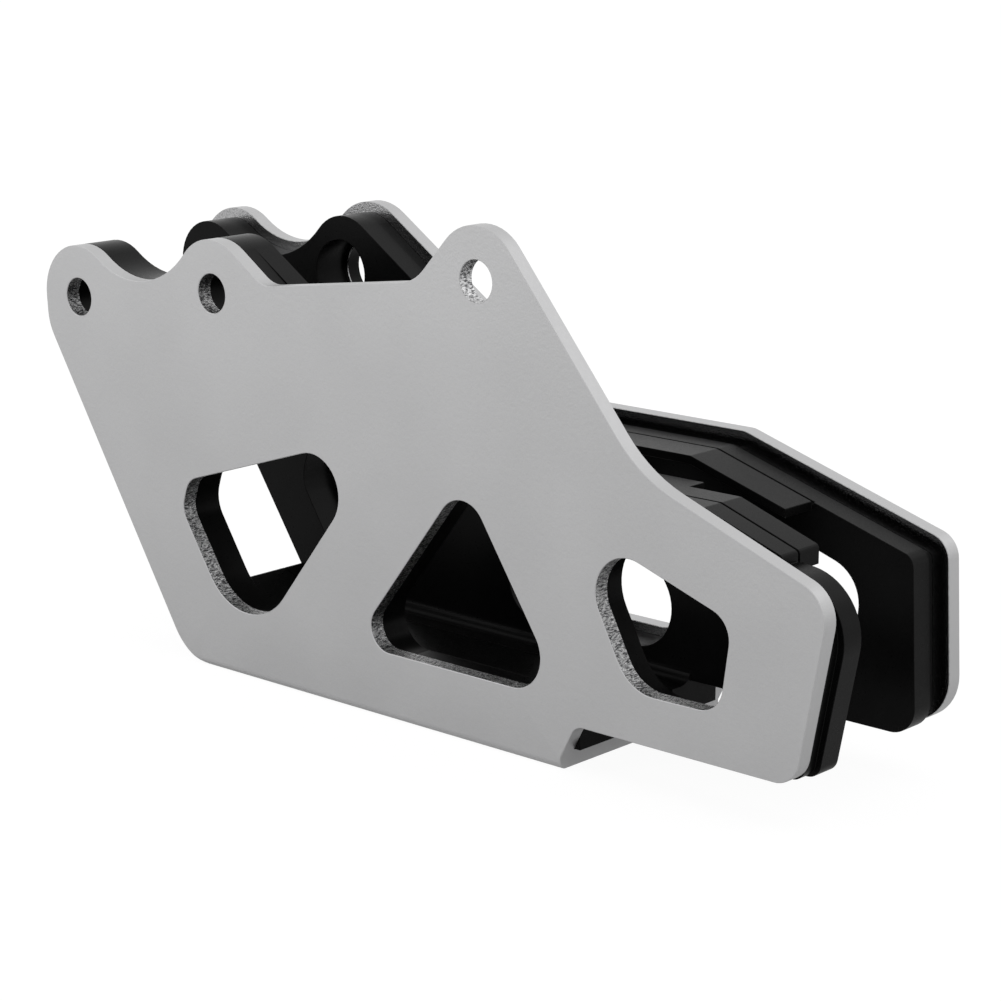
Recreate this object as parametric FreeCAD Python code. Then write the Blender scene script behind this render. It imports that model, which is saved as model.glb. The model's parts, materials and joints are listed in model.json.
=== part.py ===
import FreeCAD, Part
import math
import os
from collections import namedtuple

# A chain guide for a motorcycle. The cage is folded from one sheet: a flat web below and two
# side plates that stand up from it. Two moulded blocks line the plates and the web, meet at a
# seam in the floor, and leave the slot that the chain runs through.
# X runs from the two-lug end to the open end, Y from the near plate to the far plate, Z up.
# Side profiles are measured from the hole of the front lug, Y from the near plate's outer face.
# The finished pieces are moved so that the origin is in the middle of the base.

# Sheet and overall sizes, in millimetres
sheet = 3.0
cage_width = 41.7
fold_radius = 1.5
plate_drop = 69.5
foot_depth = 8.15
web_drop = plate_drop + foot_depth
web_left = -71.6
web_right = 18.3
foot_radius = 11.7
notch_lip = 2.1
notch_slant = 3.1
notch_radius = 2.6

# Lugs: places, bores and radii
lug_bore = 7.0
far_bore = 10.4
rear_lug_x = -99.5
rear_lug_z = -13.4
middle_lug_x = -62.9
middle_lug_z = -8.8
near_lug_radius = 9.5
front_lug_radius = 9.0
valley_radius = 18.3

# Near plate: its flank under the rear lug, its top between the lugs and its slope to the open end
rear_flank_drop = 3.0
rear_flank_inset = 0.2
near_top_left_gap = 13.1
near_top_left_rise = 2.6
near_top_left_radius = 5.5
near_top_right_x = -13.6
near_top_right_z = -1.5
near_top_right_radius = 8.0
near_slope_x = 33.8
near_slope_z = -26.3
near_slope_radius = 26.0
near_end_x = 70.0
near_end_z = -39.6
near_end_radius = 6.2
near_foot_x = 64.5
near_foot_radius = 4.6

# Far plate: its ears stand higher round their bores, and its top is level
far_ear_shift = 0.8
far_rear_ear_rise = 3.0
far_rear_ear_radius = 9.8
far_middle_ear_rise = 2.1
far_middle_ear_radius = 10.4
far_valley_radius = 17.7
far_top_z = -26.8
far_top_left_x = -13.0
far_top_left_radius = 12.0
far_top_right_x = 24.9
far_top_right_radius = 4.0
far_end_x = 65.2
far_end_z = -38.9
far_end_radius = 4.3
far_foot_x = 66.8
far_foot_radius = 8.0
far_flank_x = -101.4
far_flank_z = -30.9
far_flank_radius = 10.0

# Guide blocks
block_wall = 4.5
block_rebate_depth = 2.6
block_rebate = 1.2
block_inset = 1.9
flank_inset = 2.8
block_bore = 12.4
floor_thickness = 4.8
floor_fillet = 2.4
floor_overhang = 1.7
floor_left = -72.3
flank_slant = 0.65
ramp_rise = 4.6
ramp_run = 8.0
ramp_radius = 14.0
ramp_edge_radius = 0.6
seam_y = 26.5
seam_gap = 0.3
near_wall_top_z = -31.0
near_wall_left_x = -11.5
near_wall_left_radius = 12.0
near_wall_slope_x = 42.2
near_wall_slope_radius = 1.5
near_wall_end_x = 70.7
near_wall_end_z = -39.2
near_wall_end_radius = 10.0
near_wall_foot_gain = 0.4
near_wall_foot_radius = 2.5
far_wall_flank_radius = 8.0
far_wall_foot_radius = 4.5

# Rails along the tops of the block walls
rail_thickness = 1.4
rail_groove = 0.4
rail_left = -10.0
near_rail_width = 5.0
near_rail_wide = 8.8
near_rail_step_x = 32.0
near_rail_end = 57.2
near_rail_end_z = -36.1
near_rail_end_radius = 0.8
near_rail_step = 1.6
far_rail_width = 7.1
far_rail_end = 43.8

# Windows are larger in the blocks than in the plates
window_step = 1.7
front_window_step = 2.3
front_window_slide = -0.6

# An outline runs anticlockwise round lugs, which it wraps, and corners, which are rounded
Lug = namedtuple("Lug", "x z radius")
Corner = namedtuple("Corner", "x z radius", defaults=(0.0,))

rear_lug = Lug(rear_lug_x, rear_lug_z, near_lug_radius)
middle_lug = Lug(middle_lug_x, middle_lug_z, near_lug_radius)
front_lug = Lug(0.0, 0.0, front_lug_radius)
far_rear_ear = Lug(rear_lug_x + far_ear_shift, rear_lug_z + far_rear_ear_rise, far_rear_ear_radius)
far_middle_ear = Lug(middle_lug_x + far_ear_shift, middle_lug_z + far_middle_ear_rise, far_middle_ear_radius)

rear_window = [
    Lug(-67.3, -46.7, 4.0),
    Lug(-67.4, -48.6, 4.5),
    Lug(-55.4, -54.0, 11.6),
    Lug(-38.7, -40.6, 6.75),
]
middle_window = [Lug(-3.3, -41.7, 5.3), Lug(-20.2, -61.6, 4.2), Lug(7.9, -59.8, 6.0)]
far_middle_window = [Lug(-2.8, -39.8, 5.3), Lug(-14.6, -59.2, 4.8), Lug(7.9, -58.0, 6.0)]
front_window = [
    Lug(31.9, -46.4, 6.5),
    Lug(37.3, -53.2, 8.1),
    Lug(46.2, -56.7, 4.5),
    Lug(47.1, -49.4, 4.6),
]
near_windows = [rear_window, middle_window, front_window]
far_windows = [rear_window, far_middle_window, front_window]


def wrap_radius(item):
    """The radius that an outline's straight lines are tangent to: a corner has none."""
    return item.radius if isinstance(item, Lug) else 0.0


def tangent(first, second):
    """The direction of the straight line from one item to the next."""
    across = second.x - first.x
    up = second.z - first.z
    swing = (wrap_radius(second) - wrap_radius(first)) / math.hypot(across, up)
    return math.atan2(up, across) - math.asin(swing)


def beside(item, direction, distance):
    """The point at a distance to the right of an item, for a line that runs in a direction."""
    return item.x + distance * math.sin(direction), item.z - distance * math.cos(direction)


def directions(items):
    """The direction of the line that leaves each item of a closed outline."""
    return [tangent(item, items[(i + 1) % len(items)]) for i, item in enumerate(items)]


def turn_at(leaving, i):
    """The signed angle by which the outline turns at an item."""
    return (leaving[i] - leaving[i - 1] + math.pi) % (2 * math.pi) - math.pi


def valley(first, second, radius):
    """The corner whose round runs from one lug straight into the next, above their middle."""
    apart = math.hypot(second.x - first.x, second.z - first.z)
    to_first = radius + first.radius
    to_second = radius + second.radius
    along = (to_first ** 2 - to_second ** 2 + apart ** 2) / (2 * apart)
    above = math.sqrt(to_first ** 2 - along ** 2)
    ahead = ((second.x - first.x) / apart, (second.z - first.z) / apart)
    centre_x = first.x + along * ahead[0] + above * ahead[1]
    centre_z = first.z + along * ahead[1] - above * ahead[0]
    sides = [math.atan2(lug.z - centre_z, lug.x - centre_x) for lug in (first, second)]
    middle = (sides[0] + sides[1]) / 2
    reach = radius / math.cos((sides[0] - sides[1]) / 2)
    return Corner(centre_x + reach * math.cos(middle), centre_z + reach * math.sin(middle), radius)


def shrink(items, by):
    """The same outline moved inwards by a distance, or outwards if it is negative."""
    leaving = directions(items)
    moved = []
    for i, item in enumerate(items):
        if isinstance(item, Lug):
            moved.append(Lug(item.x, item.z, item.radius - by))
            continue
        turn = turn_at(leaving, i)
        middle = leaving[i - 1] + turn / 2
        x, z = beside(item, middle, -by / math.cos(turn / 2))
        radius = item.radius - math.copysign(by, turn)
        moved.append(Corner(x, z, max(radius, 0.0)))
    return moved


def outline(items, point):
    """A closed wire of lines and arcs round the items, in the plane that point() maps to."""
    count = len(items)
    leaving = directions(items)
    turns = [turn_at(leaving, i) for i in range(count)]
    setback = []
    for item, turn in zip(items, turns):
        setback.append(0.0 if isinstance(item, Lug) else item.radius * math.tan(abs(turn) / 2))

    starts = [beside(item, leaving[i], wrap_radius(item)) for i, item in enumerate(items)]
    ends = [beside(item, leaving[i - 1], wrap_radius(item)) for i, item in enumerate(items)]
    lengths = [math.dist(starts[i], ends[(i + 1) % count]) for i in range(count)]
    share = []
    for i in range(count):
        needed = setback[i] + setback[(i + 1) % count]
        share.append(min(1.0, lengths[i] / needed) if needed > 0 else 1.0)

    arcs = []
    for i, item in enumerate(items):
        if isinstance(item, Lug):
            centre = (item.x, item.z)
            radius = item.radius
        else:
            scale = min(share[i - 1], share[i])
            radius = math.copysign(item.radius * scale, turns[i])
            bisector = leaving[i - 1] + turns[i] / 2
            centre = beside(item, bisector, -radius / math.cos(turns[i] / 2))
        spot = Corner(*centre)
        angles = [leaving[i - 1], leaving[i - 1] + turns[i] % (2 * math.pi) / 2, leaving[i]]
        if not isinstance(item, Lug):
            angles[1] = leaving[i - 1] + turns[i] / 2
        arcs.append([point(*beside(spot, angle, radius)) for angle in angles])

    edges = []
    for i, arc in enumerate(arcs):
        if arc[0].distanceToPoint(arc[2]) > 1e-4:
            edges.append(Part.Arc(*arc).toShape())
        following = arcs[(i + 1) % count]
        if arc[2].distanceToPoint(following[0]) > 1e-4:
            edges.append(Part.makeLine(arc[2], following[0]))
    return Part.Wire(Part.__sortEdges__(edges))


def side_prism(items, y_low, y_high):
    """A side profile made solid between two distances across the guide."""
    face = Part.Face(outline(items, lambda x, z: FreeCAD.Vector(x, y_low, z)))
    return face.extrude(FreeCAD.Vector(0, y_high - y_low, 0))


def end_prism(items, x_low, x_high):
    """A cross-section, given as Y and Z, made solid between two distances along the guide."""
    face = Part.Face(outline(items, lambda y, z: FreeCAD.Vector(x_low, y, z)))
    return face.extrude(FreeCAD.Vector(x_high - x_low, 0, 0))


def hole(lug, diameter, y_low, y_high):
    """A round cutter through a lug."""
    base = FreeCAD.Vector(lug.x, y_low, lug.z)
    return Part.makeCylinder(diameter / 2, y_high - y_low, base, FreeCAD.Vector(0, 1, 0))


def plate_foot():
    """The corners that both plates share: the web's rounded left end, its right end and the notch."""
    return [
        Corner(web_left, -web_drop, foot_radius),
        Corner(web_right, -web_drop),
        Corner(web_right, notch_lip - web_drop),
        Corner(web_right + notch_slant, -plate_drop, notch_radius),
    ]


def near_plate():
    """The near plate's profile, with the front lug standing above it."""
    return plate_foot() + [
        Corner(near_foot_x, -plate_drop, near_foot_radius),
        Corner(near_end_x, near_end_z, near_end_radius),
        Corner(near_slope_x, near_slope_z, near_slope_radius),
        front_lug,
        Corner(near_top_right_x, near_top_right_z, near_top_right_radius),
        Corner(middle_lug_x + near_top_left_gap, middle_lug_z + near_top_left_rise, near_top_left_radius),
        middle_lug,
        valley(middle_lug, rear_lug, valley_radius),
        rear_lug,
        Lug(rear_lug_x, rear_lug_z - rear_flank_drop, near_lug_radius - rear_flank_inset),
    ]


def far_plate():
    """The far plate's profile, with two higher ears and a level top."""
    return plate_foot() + [
        Corner(far_foot_x, -plate_drop, far_foot_radius),
        Corner(far_end_x, far_end_z, far_end_radius),
        Corner(far_top_right_x, far_top_z, far_top_right_radius),
        Corner(far_top_left_x, far_top_z, far_top_left_radius),
        far_middle_ear,
        valley(far_middle_ear, far_rear_ear, far_valley_radius),
        far_rear_ear,
        Corner(far_flank_x, far_flank_z, far_flank_radius),
    ]


def near_wall():
    """The profile of the near block's wall."""
    return [
        Corner(floor_left, -plate_drop),
        Corner(near_foot_x + near_wall_foot_gain, -plate_drop, near_wall_foot_radius),
        Corner(near_wall_end_x, near_wall_end_z, near_wall_end_radius),
        Corner(near_rail_end, near_rail_end_z - near_rail_step),
        Corner(near_rail_end, near_rail_end_z, near_rail_end_radius),
        Corner(near_wall_slope_x, near_wall_top_z, near_wall_slope_radius),
        Corner(near_wall_left_x, near_wall_top_z, near_wall_left_radius),
        middle_lug,
        valley(middle_lug, rear_lug, valley_radius),
        rear_lug,
    ]


def far_wall():
    """The profile of the far block's wall, set in from the far plate's rim."""
    rim = shrink(far_plate(), block_inset)
    flank = Corner(far_flank_x + flank_inset, far_flank_z, far_wall_flank_radius)
    foot = Corner(far_foot_x - block_inset, -plate_drop, far_wall_foot_radius)
    return [Corner(floor_left, -plate_drop), foot] + rim[5:11] + [flank]


def rebated(items):
    """A wall's profile as on its outer side, with its open end and its top set back."""
    back = shrink(items, block_rebate)
    open_end = next(i for i, item in enumerate(items) if isinstance(item, Lug))
    foot = Corner(back[1].x, -plate_drop, items[1].radius)
    return [items[0], foot] + back[2:open_end] + items[open_end:]


def widened(window, step, slide=0.0):
    """A window's outline made larger all round, and slid back and down."""
    return [Lug(lug.x + slide, lug.z + slide, lug.radius + step) for lug in window]


def mirrored(shape):
    """A shape made for the near side, turned over to the far side."""
    return shape.mirror(FreeCAD.Vector(0, cage_width / 2, 0), FreeCAD.Vector(0, 1, 0))


def fold():
    """The folded sheet before its outline is cut: a web with a side plate at each edge."""
    inner_left = sheet
    inner_right = cage_width - sheet
    top = front_lug_radius + sheet
    section = [
        Corner(0.0, top),
        Corner(0.0, -web_drop, fold_radius),
        Corner(cage_width, -web_drop, fold_radius),
        Corner(cage_width, top),
        Corner(inner_right, top),
        Corner(inner_right, sheet - web_drop),
        Corner(inner_left, sheet - web_drop),
        Corner(inner_left, top),
    ]
    reach = far_middle_ear_radius + 2 * sheet
    return end_prism(section, rear_lug_x - reach, near_end_x + reach)


def cage():
    """The one-piece cage of folded sheet, with its windows and lug holes."""
    middle = cage_width / 2
    near = side_prism(near_plate(), 0.0, middle)
    far = side_prism(far_plate(), middle, cage_width)
    for window in near_windows:
        near = near.cut(side_prism(window, -sheet, middle))
    for window in far_windows:
        far = far.cut(side_prism(window, middle, cage_width + sheet))
    shape = fold().common(near.fuse(far))
    for lug in (rear_lug, middle_lug):
        shape = shape.cut(hole(lug, lug_bore, -sheet, middle))
        shape = shape.cut(hole(lug, far_bore, middle, cage_width + sheet))
    shape = shape.cut(hole(front_lug, lug_bore, -sheet, 2 * sheet))
    return shape.removeSplitter()


def floor(depth):
    """One block's share of the floor, out to a distance from its plate's outer face."""
    base = sheet - web_drop
    top = base + floor_thickness
    inner = sheet + block_rebate_depth + block_wall
    ramp_foot = floor_left + ramp_run
    level = [
        Corner(sheet, top + floor_fillet),
        Corner(sheet, base),
        Corner(depth, base),
        Corner(depth, top),
        Corner(inner, top, floor_fillet),
        Corner(inner, top + floor_fillet),
    ]
    ramp = [
        Corner(floor_left - (base + plate_drop) * flank_slant, base),
        Corner(ramp_foot + ramp_radius / 2, base),
        Corner(ramp_foot + ramp_radius / 2, top),
        Corner(ramp_foot, top, ramp_radius),
        Corner(floor_left - ramp_rise * flank_slant, ramp_rise - plate_drop, ramp_edge_radius),
    ]
    shape = end_prism(level, ramp_foot + ramp_radius / 2, web_right + floor_overhang)
    return shape.fuse(side_prism(ramp, sheet, depth))


def rail(wall, width, x_low, x_high):
    """A strip that stands out from the top of a wall, over a stretch of its length."""
    inner = sheet + block_rebate_depth + block_wall
    band = side_prism(wall, inner - block_wall / 2, inner + width)
    band = band.cut(side_prism(shrink(wall, rail_thickness), sheet, inner + 2 * width))
    return band.common(top_stretch(x_low, x_high))


def top_stretch(x_low, x_high):
    """The space round the top of a wall, over a stretch of its length."""
    lowest = near_rail_end_z - near_rail_step - 2 * rail_thickness
    corner = FreeCAD.Vector(x_low, 0, lowest)
    return Part.makeBox(x_high - x_low, cage_width, plate_drop, corner)


def rail_line(wall, x_low, x_high):
    """The cutter for the fine groove between a wall's top and its rail, run on past the rail's ends."""
    inner = sheet + block_rebate_depth + block_wall
    band = side_prism(shrink(wall, -rail_groove), inner - rail_groove, inner)
    band = band.cut(side_prism(shrink(wall, rail_groove), 0.0, cage_width))
    return band.common(top_stretch(x_low - rail_groove, x_high + rail_groove))


def block(wall, depth, windows, rails, rail_end):
    """A guide block, made on the near side: a stepped wall, a floor and the wall's rails."""
    step_y = sheet + block_rebate_depth
    inner = step_y + block_wall
    shape = side_prism(wall, step_y, inner).fuse(side_prism(rebated(wall), sheet, step_y))
    shape = shape.fuse([floor(depth)] + rails).removeSplitter()
    shape = shape.cut(rail_line(wall, rail_left, rail_end))
    openings = [widened(window, window_step) for window in windows[:2]]
    openings.append(widened(windows[2], front_window_step, front_window_slide))
    for opening in openings:
        shape = shape.cut(side_prism(opening, 0.0, inner))
    for lug in (rear_lug, middle_lug):
        shape = shape.cut(hole(lug, block_bore, 0.0, cage_width))
    return shape


def near_block():
    """The block behind the near plate, which carries most of the floor."""
    wall = near_wall()
    rails = [
        rail(wall, near_rail_width, rail_left, near_rail_end),
        rail(wall, near_rail_wide, rail_left, near_rail_step_x),
    ]
    return block(wall, seam_y - seam_gap / 2, near_windows, rails, near_rail_end)


def far_block():
    """The block before the far plate."""
    wall = far_wall()
    rails = [rail(wall, far_rail_width, rail_left, far_rail_end)]
    depth = cage_width - seam_y - seam_gap / 2
    return mirrored(block(wall, depth, far_windows, rails, far_rail_end))


def main():
    """Builds the pieces, moves them to the middle of the base and writes one file each."""
    pieces = {"cage": cage(), "near_block": near_block(), "far_block": far_block()}
    box = FreeCAD.BoundBox()
    for shape in pieces.values():
        box.add(shape.BoundBox)
    move = FreeCAD.Vector(-(box.XMin + box.XMax) / 2, -cage_width / 2, web_drop)
    os.makedirs("parts", exist_ok=True)
    for name, shape in pieces.items():
        shape.translate(move)
        print(name, shape.isValid(), len(shape.Solids), round(shape.Volume), shape.BoundBox)
        shape.exportStep(f"parts/{name}.step")
    print("moved by", move)


main()
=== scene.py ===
"""The looks of a motorcycle chain guide: a blasted sheet cage and two moulded guide blocks."""

import json
import logging
import math
from collections.abc import Sequence
from dataclasses import dataclass
from enum import Enum, IntEnum

import bpy
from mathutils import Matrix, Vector
from mathutils.bvhtree import BVHTree


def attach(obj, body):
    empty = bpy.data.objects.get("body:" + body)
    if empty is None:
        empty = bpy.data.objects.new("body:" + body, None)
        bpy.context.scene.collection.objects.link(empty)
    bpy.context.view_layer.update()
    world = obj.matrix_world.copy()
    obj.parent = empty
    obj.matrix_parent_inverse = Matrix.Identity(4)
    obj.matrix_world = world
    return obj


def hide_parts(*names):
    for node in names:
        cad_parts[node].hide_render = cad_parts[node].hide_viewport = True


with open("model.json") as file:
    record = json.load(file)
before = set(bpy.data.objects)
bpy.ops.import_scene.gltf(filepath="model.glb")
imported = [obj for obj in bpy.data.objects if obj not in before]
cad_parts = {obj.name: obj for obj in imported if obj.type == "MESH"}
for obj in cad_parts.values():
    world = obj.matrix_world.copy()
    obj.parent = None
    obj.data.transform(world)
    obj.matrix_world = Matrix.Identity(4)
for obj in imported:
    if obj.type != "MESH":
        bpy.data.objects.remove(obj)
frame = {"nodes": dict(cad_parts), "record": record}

log = logging.getLogger("chain_guide")

# Lengths are in metres.
MM_IN_A_METRE = 1000
SHEET_EDGE = 0.00011
BLOCK_EDGE = 0.00008
WELD = 1e-6
SHARP_ANGLE = math.radians(35.0)
SMOOTH_ANGLE = math.radians(30.0)

# The sockets of a Mix node that mixes colours.
MIX_FACTOR = 0
MIX_FIRST = 6
MIX_SECOND = 7
MIX_RESULT = 2

WHITE = (1.0, 1.0, 1.0, 1.0)

# The stretches of a noise's values that the finishes spread over their own ranges.
NARROW = (0.35, 0.65)
WIDE = (0.3, 0.7)


class Slot(Enum):
    """The record's material slots."""

    METAL = "cage_metal"
    PLASTIC = "block_plastic"


class CageFinish(IntEnum):
    """The cage's finishes, in the order of its materials."""

    BLASTED = 0
    TORN = 1
    # The inside faces: glossier, with a darker grey painted as shade.
    INSIDE = 2
    # The far bores' walls: black painted there as shade.
    BLACK = 3


class Graph:
    """A material's node tree, built one node at a time."""

    def __init__(self, name: str) -> None:
        """Starts an empty material that holds one shader.

        Args:
            name: the material's name.
        """
        self.material = bpy.data.materials.new(name)
        self.material.use_nodes = True
        self.tree = self.material.node_tree
        self.tree.nodes.clear()
        self.output = self.tree.nodes.new("ShaderNodeOutputMaterial")
        self.shader = self.tree.nodes.new("ShaderNodeBsdfPrincipled")
        self.link(self.shader.outputs["BSDF"], self.output.inputs["Surface"])

    def link(self, source: bpy.types.NodeSocket, target: bpy.types.NodeSocket) -> None:
        """Joins an output to an input.

        Args:
            source: the output.
            target: the input.
        """
        self.tree.links.new(source, target)

    def add(self, kind: str, **settings: object) -> bpy.types.Node:
        """Adds a node.

        Args:
            kind: the node's class name, without ShaderNode.
            settings: properties of the node.

        Returns:
            The new node.
        """
        node = self.tree.nodes.new("ShaderNode" + kind)
        for name, value in settings.items():
            setattr(node, name, value)
        return node

    def place(self) -> bpy.types.NodeSocket:
        """Returns the point on the piece, in metres."""
        return self.add("TexCoord").outputs["Object"]

    def noise(self, scale: float, detail: float = 2.0,
              stretch: tuple[float, float, float] = (1.0, 1.0, 1.0)) -> bpy.types.NodeSocket:
        """Adds a noise over the piece.

        Args:
            scale: cells for each metre.
            detail: octaves of finer noise.
            stretch: factors on the three axes.

        Returns:
            The noise's value.
        """
        mapping = self.add("Mapping")
        mapping.inputs["Scale"].default_value = stretch
        self.link(self.place(), mapping.inputs["Vector"])
        texture = self.add("TexNoise")
        texture.inputs["Scale"].default_value = scale
        texture.inputs["Detail"].default_value = detail
        self.link(mapping.outputs["Vector"], texture.inputs["Vector"])
        return texture.outputs["Fac"]

    def remap(self, value: bpy.types.NodeSocket, source: tuple[float, float],
              target: tuple[float, float] = (0.0, 1.0)) -> bpy.types.NodeSocket:
        """Stretches a range of values onto another.

        Args:
            value: the value to stretch.
            source: the lowest and highest of its range.
            target: what those become.

        Returns:
            The new value, clamped to the target.
        """
        node = self.add("MapRange")
        self.link(value, node.inputs["Value"])
        node.inputs["From Min"].default_value, node.inputs["From Max"].default_value = source
        node.inputs["To Min"].default_value, node.inputs["To Max"].default_value = target
        return node.outputs["Result"]

    def blend(self, factor: bpy.types.NodeSocket, tones: tuple[float, float],
              blue: float = 0.0) -> bpy.types.NodeSocket:
        """Mixes two greys.

        Args:
            factor: how much of the second.
            tones: the two greys.
            blue: how much more blue both have.

        Returns:
            The mixed colour.
        """
        node = self.add("Mix", data_type="RGBA")
        self.link(factor, node.inputs[MIX_FACTOR])
        for tone, place in zip(tones, (MIX_FIRST, MIX_SECOND)):
            node.inputs[place].default_value = (tone, tone, tone + blue, 1.0)
        return node.outputs[MIX_RESULT]

    def bump(self, height: bpy.types.NodeSocket, relief: tuple[float, float], scale: float = 1.0,
             below: bpy.types.NodeSocket | None = None) -> bpy.types.NodeSocket:
        """Turns a height into a normal.

        Args:
            height: the height's value.
            relief: how much of it to use, and the height of a value of one.
            scale: what the first of these is multiplied by.
            below: a normal to lay it on.

        Returns:
            The normal.
        """
        node = self.add("Bump")
        node.inputs["Strength"].default_value = relief[0] * scale
        node.inputs["Distance"].default_value = relief[1]
        self.link(height, node.inputs["Height"])
        if below is not None:
            self.link(below, node.inputs["Normal"])
        return node.outputs["Normal"]


@dataclass(frozen=True)
class BlastedSheet:
    """Bead-blasted and anodised sheet: pale and dull."""

    name: str = "blasted_aluminium"
    tones: tuple[float, float] = (0.49, 0.51)
    blue: float = 0.004
    cloud: float = 45.0
    grain: float = 2800.0
    grain_relief: tuple[float, float] = (0.55, 0.00003)
    pebble: float = 1100.0
    pebble_relief: tuple[float, float] = (0.4, 0.00005)
    roughness: tuple[float, float] = (0.43, 0.47)

    def build(self) -> bpy.types.Material:
        """Builds the finish.

        Returns:
            The material.
        """
        graph = Graph(self.name)
        shader = graph.shader
        shader.inputs["Metallic"].default_value = 1.0
        grain = graph.noise(self.grain)
        pebble = graph.noise(self.pebble)
        cloud = graph.remap(graph.noise(self.cloud), NARROW)
        graph.link(graph.blend(cloud, self.tones, self.blue), shader.inputs["Base Color"])
        graph.link(graph.remap(pebble, WIDE, self.roughness), shader.inputs["Roughness"])
        normal = graph.bump(grain, self.grain_relief)
        normal = graph.bump(pebble, self.pebble_relief, below=normal)
        graph.link(normal, shader.inputs["Normal"])
        return graph.material


@dataclass(frozen=True)
class TornSheet:
    """The sheet where a window or a bore was cut through it: streaked across, bright and dark."""

    name: str = "cut_aluminium"
    tones: tuple[float, float] = (0.10, 0.74)
    blue: float = 0.004
    streak: float = 4200.0
    streak_detail: float = 3.0
    streak_shape: tuple[float, float, float] = (1.0, 0.3, 1.0)
    streak_range: tuple[float, float] = (0.38, 0.58)
    streak_relief: tuple[float, float] = (0.9, 0.00018)
    fleck: float = 7000.0
    fleck_relief: tuple[float, float] = (0.7, 0.00008)
    roughness: tuple[float, float] = (0.22, 0.38)
    depth: float = 1.0

    def build(self) -> bpy.types.Material:
        """Builds the finish.

        Returns:
            The material.
        """
        graph = Graph(self.name)
        shader = graph.shader
        shader.inputs["Metallic"].default_value = 1.0
        streak = graph.noise(self.streak, self.streak_detail, self.streak_shape)
        fleck = graph.noise(self.fleck)
        scratch = graph.remap(streak, self.streak_range)
        graph.link(graph.blend(scratch, self.tones, self.blue), shader.inputs["Base Color"])
        graph.link(graph.remap(fleck, NARROW, self.roughness), shader.inputs["Roughness"])
        normal = graph.bump(streak, self.streak_relief, self.depth)
        normal = graph.bump(fleck, self.fleck_relief, self.depth, normal)
        graph.link(normal, shader.inputs["Normal"])
        return graph.material


@dataclass(frozen=True)
class MouldedPlastic:
    """Black nylon as it leaves the mould: smooth, with a faint ripple."""

    name: str = "moulded_plastic"
    tones: tuple[float, float] = (0.003, 0.0044)
    specular: float = 0.07
    roughness: tuple[float, float] = (0.27, 0.35)
    ripple: float = 150.0
    ripple_relief: tuple[float, float] = (0.1, 0.0002)
    grain: float = 2400.0
    grain_relief: tuple[float, float] = (0.15, 0.00002)

    def build(self) -> bpy.types.Material:
        """Builds the finish.

        Returns:
            The material.
        """
        graph = Graph(self.name)
        shader = graph.shader
        shader.inputs["Specular IOR Level"].default_value = self.specular
        ripple = graph.noise(self.ripple)
        grain = graph.noise(self.grain)
        colour = graph.blend(graph.remap(ripple, NARROW), self.tones)
        graph.link(colour, shader.inputs["Base Color"])
        graph.link(graph.remap(grain, WIDE, self.roughness), shader.inputs["Roughness"])
        normal = graph.bump(grain, self.grain_relief)
        normal = graph.bump(ripple, self.ripple_relief, below=normal)
        graph.link(normal, shader.inputs["Normal"])
        return graph.material


Finish = BlastedSheet | TornSheet | MouldedPlastic

# The inside faces: a glossier sheet, with a darker grey painted as shade.
SHADED_INSIDE_SHEET = TornSheet("inner_aluminium_painted_shade", tones=(0.3, 0.46), roughness=(0.10, 0.18), depth=0.2)
# The far bores' walls: black plastic painted where the cut metal shows only shade.
BORE_PAINTED_SHADE = MouldedPlastic("bore_painted_shade")


@dataclass(frozen=True)
class Patch:
    """A stretch of the side view, from one corner to the other in metres along X and Z."""

    low: tuple[float, float]
    high: tuple[float, float]

    def holds(self, point: Vector) -> bool:
        """Returns whether the stretch holds a point."""
        return self.low[0] < point.x < self.high[0] and self.low[1] < point.z < self.high[1]


# Each takes in one of the cage's windows.
WINDOWS = (
    Patch((-0.053, 0.011), (-0.011, 0.046)),
    Patch((-0.006, 0.011), (0.036, 0.045)),
    Patch((0.044, 0.015), (0.0735, 0.041)),
)


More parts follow.
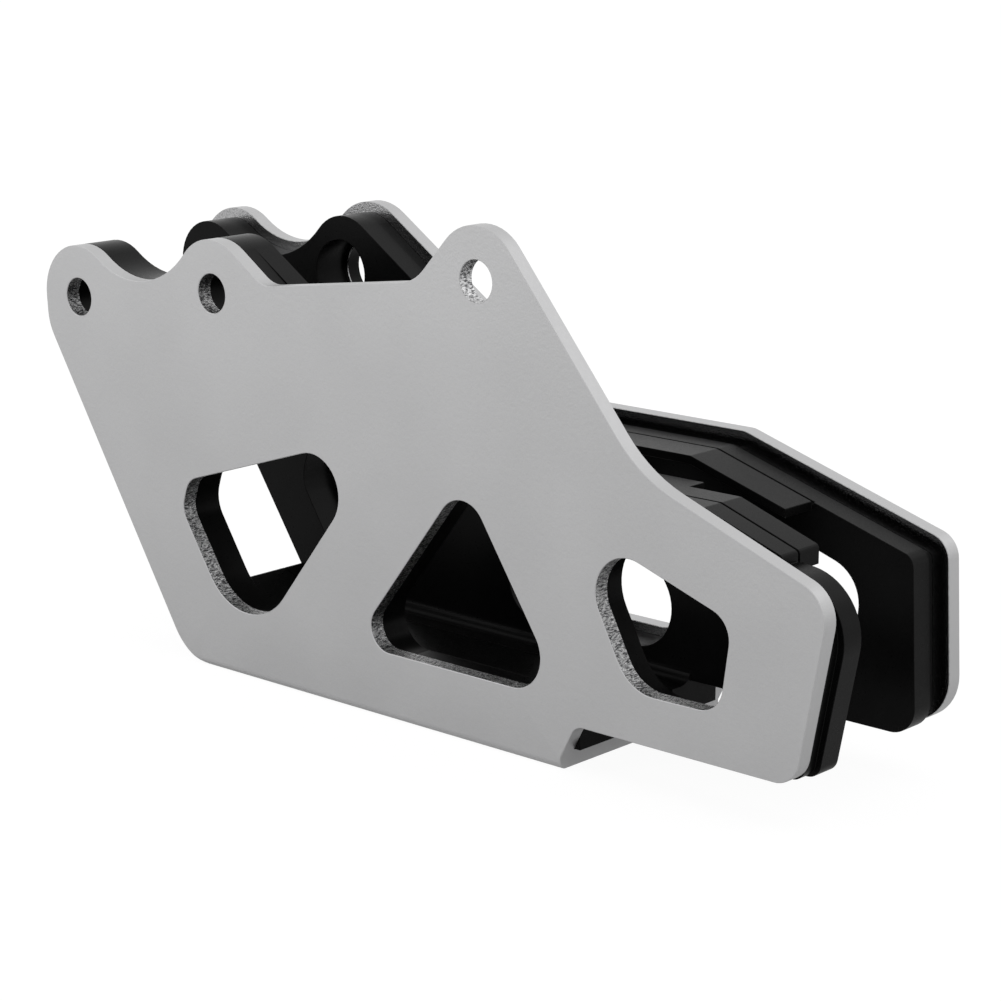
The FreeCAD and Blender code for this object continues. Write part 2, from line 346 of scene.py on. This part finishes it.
@dataclass
class Dressed:
    """A piece of the guide that stands for one of the solids, with its edges broken."""

    node: str
    name: str
    slot: Slot
    edge: float
    stray_share: float = 0.02

    def model(self) -> bpy.types.Object:
        """Copies the solid's mesh and breaks its sharp edges.

        Returns:
            The new piece.
        """
        solid = frame["nodes"][self.node]
        piece = bpy.data.objects.new(self.name, solid.data.copy())
        bpy.context.scene.collection.objects.link(piece)
        bpy.ops.object.select_all(action="DESELECT")
        piece.select_set(True)
        bpy.context.view_layer.objects.active = piece
        bpy.ops.mesh.customdata_custom_splitnormals_clear()
        bpy.ops.object.mode_set(mode="EDIT")
        bpy.ops.mesh.select_mode(type="VERT")
        bpy.ops.mesh.select_all(action="SELECT")
        bpy.ops.mesh.remove_doubles(threshold=WELD)
        bpy.ops.mesh.select_mode(type="EDGE")
        bpy.ops.mesh.select_all(action="DESELECT")
        bpy.ops.mesh.edges_select_sharp(sharpness=SHARP_ANGLE)
        bpy.ops.mesh.bevel(offset=self.edge, segments=1, affect="EDGES",
                           clamp_overlap=False, loop_slide=False)
        bpy.ops.mesh.select_all(action="SELECT")
        bpy.ops.mesh.quads_convert_to_tris(quad_method="BEAUTY", ngon_method="BEAUTY")
        bpy.ops.object.mode_set(mode="OBJECT")
        self.settle(piece, solid)
        bpy.ops.object.shade_smooth_by_angle(angle=SMOOTH_ANGLE)
        return piece

    def settle(self, piece: bpy.types.Object, solid: bpy.types.Object) -> None:
        """Draws the corners that the broken edges threw off the solid back onto it.

        Args:
            piece: the new piece, which is the active object.
            solid: the solid.
        """
        mesh = solid.data
        points = [vertex.co for vertex in mesh.vertices]
        surface = BVHTree.FromPolygons(points, [tuple(face.vertices) for face in mesh.polygons])
        reach = self.edge * self.stray_share
        stray = []
        for vertex in piece.data.vertices:
            _, _, _, distance = surface.find_nearest(vertex.co)
            if distance > reach:
                stray.append(vertex.index)
        log.info("%s has %d stray corners", piece.name, len(stray))
        if not stray:
            return
        group = piece.vertex_groups.new(name="stray")
        group.add(stray, 1.0, "REPLACE")
        wrap = piece.modifiers.new("settle", "SHRINKWRAP")
        wrap.target = solid
        wrap.wrap_method = "NEAREST_SURFACEPOINT"
        wrap.vertex_group = group.name
        bpy.ops.object.modifier_apply(modifier=wrap.name)
        piece.vertex_groups.remove(piece.vertex_groups["stray"])

    def finishes(self) -> list[Finish]:
        """Returns the piece's finishes, in the order of its materials."""
        return [MouldedPlastic()]

    def finish_of(self, face: bpy.types.MeshPolygon) -> int:
        """Returns the place of the finish that a face takes."""
        return 0

    def dress(self) -> bpy.types.Object:
        """Builds the piece in its solid's place.

        Returns:
            The piece.
        """
        piece = self.model()
        piece.data.materials.clear()
        for finish in self.finishes():
            piece.data.materials.append(finish.build())
        for face in piece.data.polygons:
            face.material_index = self.finish_of(face)
        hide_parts(self.node)
        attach(piece, "root")
        return piece


@dataclass
class Cage(Dressed):
    """The folded cage: blasted outside, glossier and painted a darker grey as shade inside, torn
    where the near plate is cut, and painted black as shade in the far bores.
    """

    node: str = "cage"
    name: str = "folded_cage"
    slot: Slot = Slot.METAL
    edge: float = SHEET_EDGE
    bore_margin: float = 0.0003
    across: float = 0.5

    def __post_init__(self) -> None:
        """Finds the stretches that the lugs' bores take up."""
        self.bores: list[Patch] = []
        for mount in frame["record"]["mounts"]:
            if mount["kind"] != "bore":
                continue
            reach = mount["dims"]["r_mm"] / MM_IN_A_METRE + self.bore_margin
            x, _, z = mount["pos_m"]
            self.bores.append(Patch((x - reach, z - reach), (x + reach, z + reach)))

    def finishes(self) -> list[Finish]:
        """Returns the cage's finishes, in the order of CageFinish."""
        return [BlastedSheet(), TornSheet(), SHADED_INSIDE_SHEET, BORE_PAINTED_SHADE]

    def finish_of(self, face: bpy.types.MeshPolygon) -> int:
        """Tells the finish of a face from its place and the way it faces.

        Args:
            face: the face.

        Returns:
            The finish's place in the list.
        """
        far = face.center.y > 0
        if face.normal.y * math.copysign(1.0, face.center.y) < -self.across:
            # Inside faces take the glossier sheet with the darker grey painted as shade.
            return CageFinish.INSIDE
        if abs(face.normal.y) > self.across:
            return CageFinish.BLASTED
        if any(bore.holds(face.center) for bore in self.bores):
            # The far bores' walls take black, painted as shade.
            return CageFinish.BLACK if far else CageFinish.TORN
        if not far and any(window.holds(face.center) for window in WINDOWS):
            return CageFinish.TORN
        return CageFinish.BLASTED


@dataclass(frozen=True)
class Lamp:
    """A square soft lamp: where it stands, the point it faces, its side and its power in watts."""

    name: str
    place: tuple[float, float, float]
    aim: tuple[float, float, float]
    size: float
    power: float

    def build(self) -> None:
        """Adds the lamp."""
        data = bpy.data.lights.new(self.name, "AREA")
        data.size = self.size
        data.energy = self.power
        lamp = bpy.data.objects.new(self.name, data)
        lamp.location = self.place
        towards = Vector(self.aim) - Vector(self.place)
        lamp.rotation_euler = towards.to_track_quat("-Z", "Y").to_euler()
        bpy.context.scene.collection.objects.link(lamp)


LAMPS = (
    Lamp("key", (-0.66, -0.76, 0.40), (0.0, -0.02, 0.04), 1.0, 2.0),
    Lamp("top", (0.45, 0.45, 0.85), (0.0, 0.0, 0.05), 0.9, 1.2),
)


def seen_share(tree: bpy.types.NodeTree, camera: float, mirrored: float) -> bpy.types.NodeSocket:
    """Adds the test for rays that show the background: the camera's, a reflection's and a pane's.

    Args:
        tree: the nodes of the floor or of the world.
        camera: the white's share for the camera.
        mirrored: the white's share in a reflection and through a pane.

    Returns:
        The white's share for the ray, which is zero for the light that falls on the object.
    """
    path = tree.nodes.new("ShaderNodeLightPath")
    shares = {"Is Camera Ray": camera, "Is Glossy Ray": mirrored, "Is Transmission Ray": mirrored}
    total = None
    for name, share in shares.items():
        part = tree.nodes.new("ShaderNodeMath")
        part.operation = "MULTIPLY_ADD"
        tree.links.new(path.outputs[name], part.inputs[0])
        part.inputs[1].default_value = share
        part.inputs[2].default_value = 0.0
        if total is not None:
            tree.links.new(total, part.inputs[2])
        total = part.outputs[0]
    return total


@dataclass
class Studio:
    """A pale floor, soft lamps and the camera of the photograph."""

    anchor: str = "front_lug"
    camera_offset: tuple[float, float, float] = (0.285175, -0.310544, 0.066605)
    azimuth: float = 42.157
    elevation: float = 13.686
    lens: float = 96.04
    sensor: float = 36.0
    clip_start: float = 0.01
    floor_side: float = 12.0
    floor_tone: float = 0.8
    floor_roughness: float = 0.9
    floor_white: float = 1.1
    floor_seen: float = 0.85
    floor_mirrored: float = 0.25
    surroundings: float = 0.62

    def camera(self) -> None:
        """Adds the camera, placed from the front lug's bore."""
        mounts = {mount["name"]: mount for mount in frame["record"]["mounts"]}
        data = bpy.data.cameras.new("camera")
        data.lens = self.lens
        data.sensor_width = self.sensor
        data.clip_start = self.clip_start
        camera = bpy.data.objects.new("camera", data)
        camera.location = Vector(mounts[self.anchor]["pos_m"]) + Vector(self.camera_offset)
        camera.rotation_euler = (math.radians(90 - self.elevation), 0, math.radians(self.azimuth))
        bpy.context.scene.collection.objects.link(camera)
        bpy.context.scene.camera = camera

    def floor(self) -> None:
        """Adds the floor, white to the camera but for a faint shadow."""
        bpy.ops.object.select_all(action="DESELECT")
        bpy.ops.mesh.primitive_plane_add(size=self.floor_side, location=(0, 0, 0))
        floor = bpy.context.object
        floor.name = "floor"
        graph = Graph("floor")
        tone = self.floor_tone
        graph.shader.inputs["Base Color"].default_value = (tone, tone, tone, 1.0)
        graph.shader.inputs["Roughness"].default_value = self.floor_roughness
        white = graph.add("Emission")
        white.inputs["Strength"].default_value = self.floor_white
        mix = graph.add("MixShader")
        graph.link(seen_share(graph.tree, self.floor_seen, self.floor_mirrored), mix.inputs[0])
        graph.link(graph.shader.outputs[0], mix.inputs[1])
        graph.link(white.outputs[0], mix.inputs[2])
        graph.link(mix.outputs[0], graph.output.inputs["Surface"])
        floor.data.materials.append(graph.material)

    def world(self) -> None:
        """Adds the surroundings: white where they are seen, dimmer as light."""
        world = bpy.data.worlds.new("world")
        bpy.context.scene.world = world
        world.use_nodes = True
        tree = world.node_tree
        tree.nodes.clear()
        output = tree.nodes.new("ShaderNodeOutputWorld")
        light = tree.nodes.new("ShaderNodeBackground")
        light.inputs["Color"].default_value = WHITE
        light.inputs["Strength"].default_value = self.surroundings
        white = tree.nodes.new("ShaderNodeBackground")
        white.inputs["Color"].default_value = WHITE
        white.inputs["Strength"].default_value = 1.0
        mix = tree.nodes.new("ShaderNodeMixShader")
        tree.links.new(seen_share(tree, 1.0, 1.0), mix.inputs[0])
        tree.links.new(light.outputs[0], mix.inputs[1])
        tree.links.new(white.outputs[0], mix.inputs[2])
        tree.links.new(mix.outputs[0], output.inputs["Surface"])

    def build(self) -> None:
        """Adds the camera, the floor and the light."""
        self.camera()
        self.floor()
        self.world()
        for lamp in LAMPS:
            lamp.build()
        bpy.context.scene.view_settings.view_transform = "Standard"


def main() -> None:
    """Dresses the frame and sets the studio."""
    logging.basicConfig(level=logging.INFO, format="%(name)s: %(message)s")
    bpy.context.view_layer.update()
    pieces = [
        Cage(),
        Dressed("near_block", "near_guide_block", Slot.PLASTIC, BLOCK_EDGE),
        Dressed("far_block", "far_guide_block", Slot.PLASTIC, BLOCK_EDGE),
    ]
    for piece in pieces:
        built = piece.dress()
        log.info("%s has %d faces", built.name, len(built.data.polygons))
    Studio().build()


if __name__ == "__main__":
    main()
